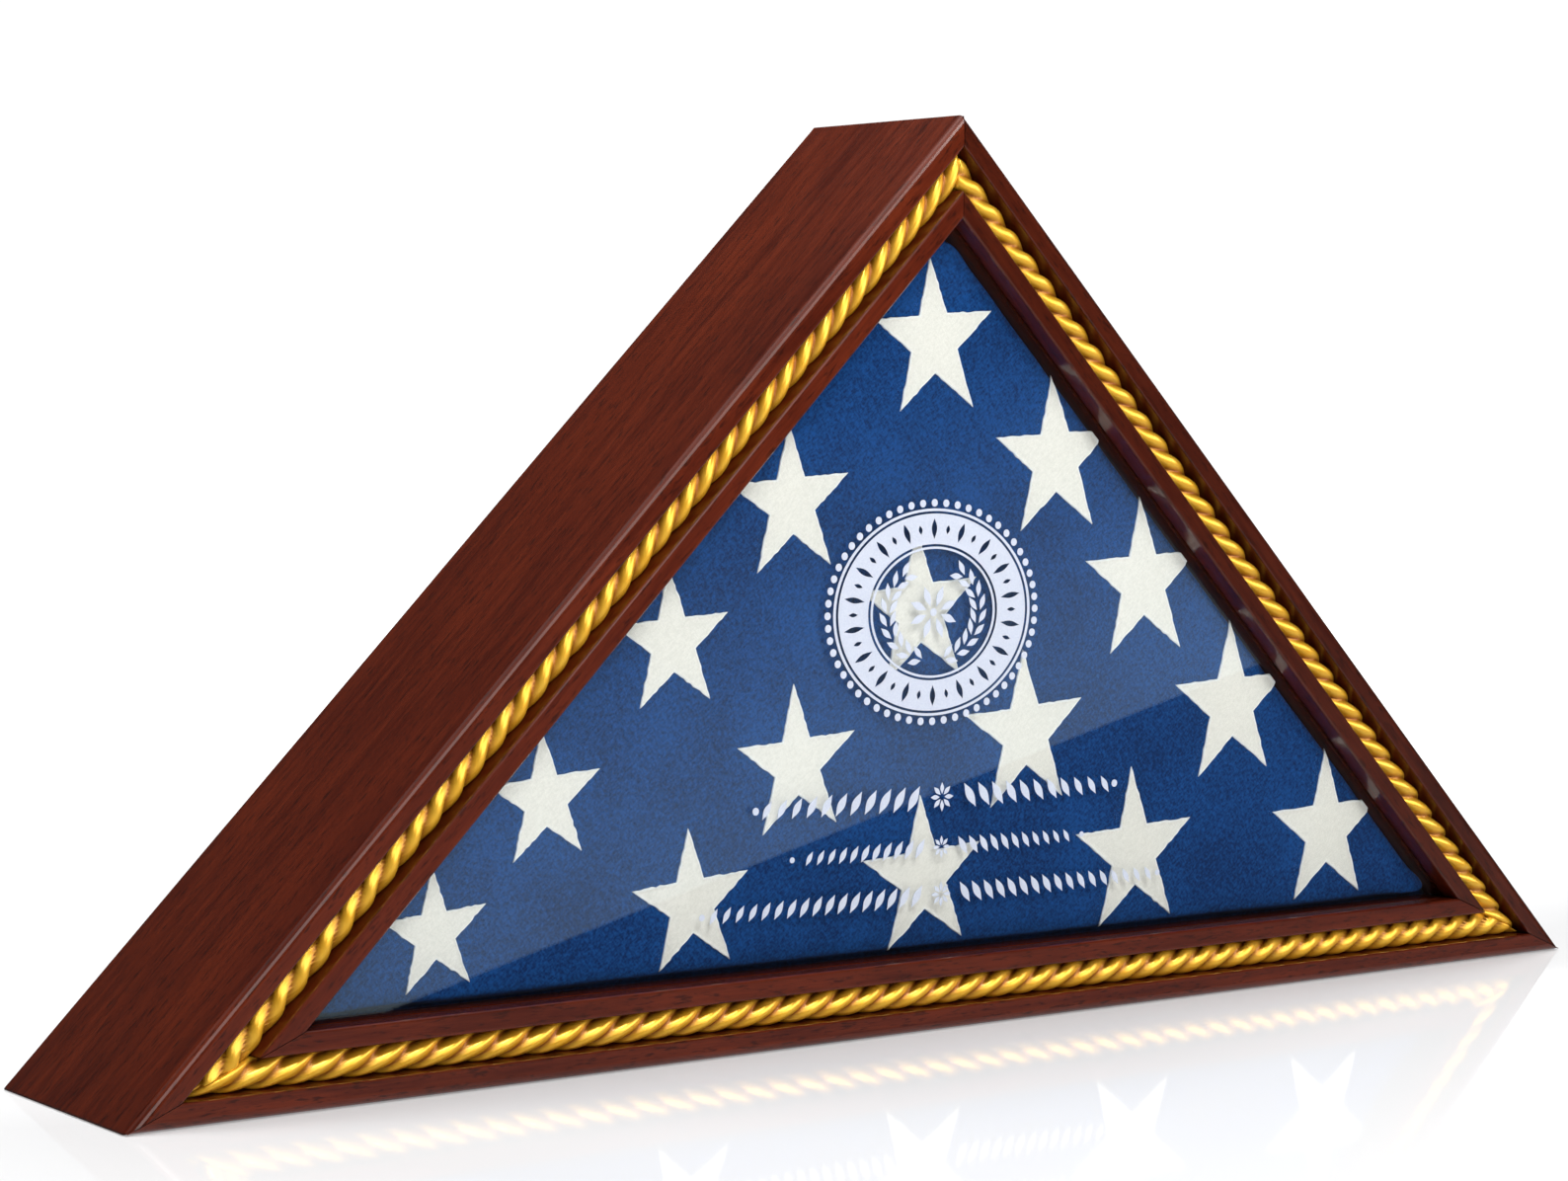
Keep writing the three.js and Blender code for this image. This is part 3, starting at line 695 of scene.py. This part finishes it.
def star_mesh(centre, size, tilt, surface, wobble):
    """Points, faces and hem values of one sewn star that follows the flag's surface."""
    outline = star_outline(centre, size, tilt, wobble)
    layers = (  # (share of the way out, lift from the cloth, how much of it is hem)
        (1.0, -0.25 * MM, 1.0),
        (1.0, 0.30 * MM, 1.0),
        (0.985, 0.62 * MM, 1.0),
        (0.95, 0.62 * MM, 0.8),
        (0.915, 0.36 * MM, 0.1),
        (0.80, 0.44 * MM, 0.0),
        (0.55, 0.46 * MM, 0.0),
        (0.30, 0.46 * MM, 0.0),
    )

    def lifted(flat, lift):
        hit = surface.ray_cast(Vector((flat.x, FRONT_Y, flat.y)), Vector((0, 1, 0)))[0]
        deepest = FRONT_Y + FLAG_FIELD_DEPTH + STAR_SINK
        ground = min(hit.y, deepest) if hit else deepest
        return Vector((flat.x, max(ground - lift, FRONT_Y + STAR_LEAST_DEPTH), flat.y))

    points, faces = patch(outline, centre, [layer[:2] for layer in layers], lifted)
    hems = [hem for *_, hem in layers for _ in outline] + [0.0]
    return points, faces, hems


def build_stars(flag, cotton):
    """All the stars, in one mesh that follows the flag's surface."""
    bpy.context.view_layer.update()
    surface = BVHTree.FromObject(flag, bpy.context.evaluated_depsgraph_get())
    wobble = random.Random(15)
    points, faces, hems = [], [], []
    for count, spacing, (middle_x, middle_z), rise in STAR_ROWS:
        for number in range(count):
            off = (number - (count - 1) / 2) * spacing
            centre = Vector((middle_x + off, middle_z + rise * off))
            # the cloth is pulled tighter towards the left corner, so the stars look smaller there
            size = STAR_RADIUS * (1 + 0.85 * centre.x - 2.2 * centre.x**2)
            tilt = math.radians(4.0 - 12 * max(0.0, centre.x))
            more, shape, hem = star_mesh(centre, size, tilt, surface, wobble)
            faces += [tuple(i + len(points) for i in face) for face in shape]
            points += more
            hems += hem
    stars = piece("stars", points, faces, [cotton], "case")
    hem = stars.data.attributes.new("hem", "FLOAT", "POINT")
    hem.data.foreach_set("value", hems)
    return stars


def sew(flag, stars, flap):
    """Makes the stars and the flap one piece with the flag, which is padded."""
    cotton = stars.data.materials[0]
    for modifier in list(flag.modifiers):
        with bpy.context.temp_override(object=flag, active_object=flag, selected_objects=[flag]):
            bpy.ops.object.modifier_apply(modifier=modifier.name)
    flag.data.attributes.new("hem", "FLOAT", "POINT")
    flag.data.materials.append(cotton)
    with bpy.context.temp_override(
        object=flag,
        active_object=flag,
        selected_objects=[flag, stars, flap],
        selected_editable_objects=[flag, stars, flap],
    ):
        bpy.ops.object.join()
    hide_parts("folded_flag")


# ---------------------------------------------------------------- etching on the glass
class Etching:
    """Flat shapes drawn on the glass, gathered into one mesh."""

    def __init__(self):
        self.points = []
        self.faces = []

    def shape(self, outline):
        """A flat shape bounded by a ring of (x, z) points, counter-clockwise."""
        start, count = len(self.points), len(outline)
        for y in (GLASS_FRONT_Y + ETCH_SINK, GLASS_FRONT_Y - ETCH_RAISE):
            self.points += [(x, y, z) for x, z in outline]
        self.faces.append(tuple(range(start + count, start + 2 * count)))
        self.faces.append(tuple(reversed(range(start, start + count))))
        for step in range(count):
            a, b = start + step, start + (step + 1) % count
            self.faces.append((a, b, b + count, a + count))

    def band(self, outer, inner):
        """A closed flat band between two rings of (x, z) points of the same count."""
        start, count = len(self.points), len(outer)
        back, front = GLASS_FRONT_Y + ETCH_SINK, GLASS_FRONT_Y - ETCH_RAISE
        for y, ring in ((back, outer), (front, outer), (front, inner), (back, inner)):
            self.points += [(x, y, z) for x, z in ring]
        for row in range(4):
            for step in range(count):
                a, b = start + row * count + step, start + row * count + (step + 1) % count
                c = start + (row + 1) % 4 * count
                self.faces.append((a, b, c + (step + 1) % count, c + step))

    def leaf(self, centre, length, width, angle):
        """A pointed leaf lying along angle."""
        outline = []
        for side, steps in ((-1, range(9)), (1, range(8, 0, -1))):
            for step in steps:
                along = -0.5 + step / 8
                across = side * 0.5 * math.cos(math.pi * along) ** 1.3
                outline.append((along * length, across * width))
        cos, sin = math.cos(angle), math.sin(angle)
        self.shape([(centre[0] + x * cos - z * sin, centre[1] + x * sin + z * cos) for x, z in outline])

    def dot(self, centre, radius, steps=14):
        """A round dot."""
        x, z = centre
        turns = [2 * math.pi * step / steps for step in range(steps)]
        self.shape([(x + radius * math.cos(t), z + radius * math.sin(t)) for t in turns])


def on_medallion(share, angle):
    """The (x, z) place at a share of the medallion's size and an angle."""
    x = MEDALLION_CENTRE[0] + share * MEDALLION_RADIUS * MEDALLION_WIDENING * math.cos(angle)
    return x, MEDALLION_CENTRE[1] + share * MEDALLION_RADIUS * math.sin(angle)


def etch_ring(etching, outer, inner):
    """A plain ring of the medallion."""
    steps = 120
    turns = [2 * math.pi * step / steps for step in range(steps)]
    etching.band([on_medallion(outer, t) for t in turns], [on_medallion(inner, t) for t in turns])


def etch_pierced_ring(etching, outer, inner, count):
    """A pale band with a row of pointed openings, a long one and a short one by turns."""
    steps = 24
    width = 2 * math.pi / count
    for sector in range(count):
        height, breadth = (0.36, 0.20) if sector % 2 else (0.16, 0.14)
        rim, opening = [], []
        for step in range(steps):
            turn = 2 * math.pi * step / steps
            cos, sin = math.cos(turn), math.sin(turn)
            reach = 0.5 / max(abs(cos), abs(sin))
            places = ((rim, reach * cos, reach * sin), (opening, breadth * cos**3, height * sin))
            for ring, across, up in places:
                share = inner + (0.5 + up) * (outer - inner)
                ring.append(on_medallion(share, (sector - across) * width))
        etching.band(rim, opening)


def etch_medallion(etching):
    """A plain oval medallion: a beaded border, a pierced band, and a wreath round a rosette."""
    size = MEDALLION_RADIUS
    beads = 56
    for bead in range(beads):
        etching.dot(on_medallion(0.963, 2 * math.pi * bead / beads), 0.034 * size)
    etch_ring(etching, 0.913, 0.89)
    etch_pierced_ring(etching, 0.868, 0.60, 36)
    etch_ring(etching, 0.578, 0.558)
    for side in (-1, 1):
        for pair in range(9):
            angle = -math.pi / 2 + side * math.radians(22 + 15.5 * pair)
            lean = angle + side * math.pi / 2
            for turn, share in ((0.5, 0.465), (-0.5, 0.375)):
                place = on_medallion(share, angle)
                etching.leaf(place, 0.15 * size, 0.055 * size, lean - side * turn)
    for petal in range(8):
        angle = math.pi / 8 + petal * math.pi / 4
        etching.leaf(on_medallion(0.15, angle), 0.19 * size, 0.07 * size, angle)
    etching.dot(MEDALLION_CENTRE, 0.035 * size, 20)


def etch_flourish(etching, height, width, largest):
    """A level line of small leaves that swell towards a rosette, between two end dots."""
    spacing = largest * 0.62
    count = int(width / spacing / 2)
    for number in range(-count, count + 1):
        x = number * spacing
        size = largest * (0.66 + 0.34 * math.cos(math.pi / 2 * number / (count + 1)))
        lean = math.radians(58 if number < 0 else 122)
        if abs(number) > 1:
            etching.leaf((x, height), size, size * 0.34, lean)
    for petal in range(8):
        turn = petal * math.pi / 4
        place = (0.3 * largest * math.cos(turn), height + 0.3 * largest * math.sin(turn))
        etching.leaf(place, 0.4 * largest, 0.16 * largest, turn)
    for side in (-1, 1):
        etching.dot((side * (width / 2 + spacing * 0.6), height), largest * 0.13)


def build_etching(frost):
    """The etched medallion and the three lines of ornament under it."""
    etching = Etching()
    etch_medallion(etching)
    for height, width, size in FLOURISHES:
        etch_flourish(etching, height, width, size)
    piece("etching", etching.points, etching.faces, [frost], "case", smooth=False)


# ---------------------------------------------------------------- camera, floor and light
def build_camera():
    """A camera at the photograph's viewing angle."""
    data = bpy.data.cameras.new("camera")
    data.lens = CAMERA_LENS
    data.sensor_width = CAMERA_SENSOR
    data.clip_start = 0.01
    camera = bpy.data.objects.new("camera", data)
    bpy.context.scene.collection.objects.link(camera)
    yaw = Matrix.Rotation(-CAMERA_YAW, 4, "Z")
    pitch = Matrix.Rotation(math.pi / 2 + CAMERA_PITCH, 4, "X")
    roll = Matrix.Rotation(CAMERA_ROLL, 4, "Z")
    camera.matrix_world = Matrix.Translation(CAMERA_PLACE) @ (yaw @ pitch) @ roll
    bpy.context.scene.camera = camera


def softbox(name, place, target, size, power, only=()):
    """A soft light that points at a target. Where only has pieces in it, it lights just those."""
    data = bpy.data.lights.new(name, "AREA")
    data.shape = "RECTANGLE"
    data.size, data.size_y = size
    data.energy = power
    light = bpy.data.objects.new(name, data)
    light.location = place
    light.rotation_euler = (Vector(target) - Vector(place)).to_track_quat("-Z", "Y").to_euler()
    light.visible_camera = False
    bpy.context.scene.collection.objects.link(light)
    if only:
        lit = bpy.data.collections.new(name + "_lights")
        for obj in only:
            lit.objects.link(obj)
        light.light_linking.receiver_collection = lit


def build_world():
    """A studio: white to the camera, nearly black in mirrors, and a soft sky to everything else."""
    world = bpy.data.worlds.new("studio")
    bpy.context.scene.world = world
    w = Nodes(world)
    w.tree.nodes.clear()
    way = w.node("SeparateXYZ", {"Vector": w.node("TexCoord").outputs["Generated"]})
    behind, up = way.outputs["Y"], way.outputs["Z"]
    sky = w.span(up, 0.74, 0.97, 0.0, 0.95)
    below = w.span(up, -0.30, -0.02, 0.35, 0.0)
    low = w.math("MULTIPLY", w.span(up, 0.16, 0.34, 1.0, 0.0), w.span(up, -0.05, 0.0))
    backdrop = w.math("MULTIPLY", low, w.span(behind, 0.0, 0.4, 0.0, 0.2))
    path = w.node("LightPath")
    fill = w.span(path.outputs["Is Glossy Ray"], 0, 1, 0.08, 0.03)
    level = w.math("ADD", w.math("MAXIMUM", w.math("MAXIMUM", sky, below), backdrop), fill)
    around = w.node("Background", {"Color": (0.97, 0.98, 1.0, 1), "Strength": level})
    mirrored = w.node("Background", {"Color": (0.9, 0.95, 1.0, 1), "Strength": 0.02})
    seen = w.node("Background", {"Color": (1, 1, 1, 1), "Strength": 1.1})
    sharp = {0: path.outputs["Is Singular Ray"], 1: around.outputs[0], 2: mirrored.outputs[0]}
    lit = w.node("MixShader", sharp)
    plain = {0: path.outputs["Is Camera Ray"], 1: lit.outputs[0], 2: seen.outputs[0]}
    w.node("OutputWorld", {"Surface": w.node("MixShader", plain).outputs[0]})


def build_floor():
    """A pale floor with a gloss that fades away in front of the object."""
    m = Material("floor", {"Base Color": (0.80, 0.80, 0.80, 1), "Roughness": 0.05})
    place = m.place()
    away = m.node("VectorMath", {0: place}, operation="LENGTH").outputs["Value"]
    front = m.node("SeparateXYZ", {"Vector": place}).outputs["Y"]
    gloss = m.math("MULTIPLY", m.span(front, -0.42, -0.05, 0.0, 0.6), m.span(away, 0.4, 0.65, 1, 0))
    m.put(m.shader.inputs["Specular IOR Level"], gloss)
    m.put(m.shader.inputs["Emission Color"], (1, 1, 1, 1))
    glow = m.math("MAXIMUM", m.span(away, 0.3, 1.1, 0.25, 0.9), m.span(front, -0.06, 0.1, 0.2, 0.5))
    m.put(m.shader.inputs["Emission Strength"], glow)
    mesh = bpy.data.meshes.new("floor")
    reach = 12.0
    mesh.from_pydata(
        [(-reach, -reach, 0), (reach, -reach, 0), (reach, reach, 0), (-reach, reach, 0)],
        [],
        [(0, 1, 2, 3)],
    )
    mesh.materials.append(m.data)
    floor = bpy.data.objects.new("floor", mesh)
    floor.location.z = -0.3 * MM  # just clear of the case
    floor.visible_glossy = False
    bpy.context.scene.collection.objects.link(floor)


def build_haze_card():
    """A pale card in front of the case, whose slanting lower edge shows in the glass."""
    card_y = -1.1
    half_width = 0.36  # this and the next three are measured on the glass
    fade_height = 0.175
    edge_place = (-0.055, 0.071)
    edge_slope = 0.25
    camera = bpy.context.scene.camera.matrix_world.translation
    image = Vector((camera.x, 2 * GLASS_FRONT_Y - camera.y, camera.z))

    def seen_at(x, z):
        """Where the card must be to be mirrored at a point of the glass."""
        glass = Vector((x, GLASS_FRONT_Y, z))
        way = glass - image
        return glass + way * ((card_y - GLASS_FRONT_Y) / way.y)

    def edge(x):
        """Height on the glass of the card's lower edge."""
        return edge_place[1] + edge_slope * (x - edge_place[0])

    steps = 12
    points, fades = [], []
    for step in range(steps + 1):
        rise = step / steps
        for x in (-half_width, half_width):
            points.append(seen_at(x, edge(x) + fade_height * rise))
            fades.append(1 - smoothstep(0, 1, rise))
    faces = [(2 * i, 2 * i + 1, 2 * i + 3, 2 * i + 2) for i in range(steps)]
    mesh = bpy.data.meshes.new("haze_card")
    mesh.from_pydata(points, [], faces)
    fade = mesh.attributes.new("fade", "FLOAT", "POINT")
    fade.data.foreach_set("value", fades)
    m = Material("haze_card", {})
    m.tree.nodes.remove(m.shader)
    share = m.node("Attribute", attribute_name="fade").outputs["Fac"]
    glow = m.node("Emission", {"Color": (0.72, 0.90, 1.0, 1), "Strength": m.span(share, 0, 1, 0, 0.7)})
    clear = m.node("BsdfTransparent")
    sharp = m.node("LightPath").outputs["Is Singular Ray"]
    both = m.node("MixShader", {0: sharp, 1: clear.outputs[0], 2: glow.outputs[0]})
    m.put(m.tree.nodes["Material Output"].inputs["Surface"], both.outputs[0])
    mesh.materials.append(m.data)
    card = bpy.data.objects.new("haze_card", mesh)
    card.visible_camera = False
    card.visible_diffuse = False
    card.visible_shadow = False
    bpy.context.scene.collection.objects.link(card)


def build_lights(ropes):
    """Softboxes high in front, far in front, above and behind, and one that gilds only the rope."""
    target = (0, 0, 0.14)
    softbox("key", (-0.15, -0.98, 1.32), target, (0.75, 0.30), 10.8)
    softbox("front", (-0.2, -2.6, 1.5), target, (2.2, 1.4), 21)
    softbox("top", (0.10, 0.10, 0.95), (-0.1, 0, 0.2), (0.3, 0.3), 4.6)
    softbox("rear", (1.7, 1.9, 1.1), target, (1.4, 1.4), 15)
    softbox("gilding", (0.9, -1.25, 0.42), target, (1.6, 0.9), 13, only=ropes)


build_camera()
build_world()
build_floor()
build_haze_card()
wood = dress_cad_nodes()
build_glue_lines(wood["base"])
build_lights(build_rope(gilded()))
blue = twill("flag_blue", (0.0010, 0.023, 0.106, 1), (0.0050, 0.074, 0.290, 1))
flag = build_flag(blue)
white = twill("star_white", (0.86, 0.83, 0.77, 1), (0.96, 0.925, 0.865, 1), hem=(0.99, 0.99, 0.98, 1))
stars = build_stars(flag, white)
sew(flag, stars, build_flap(blue))
build_etching(frosted_etching())
bpy.context.scene.view_settings.view_transform = "Standard"
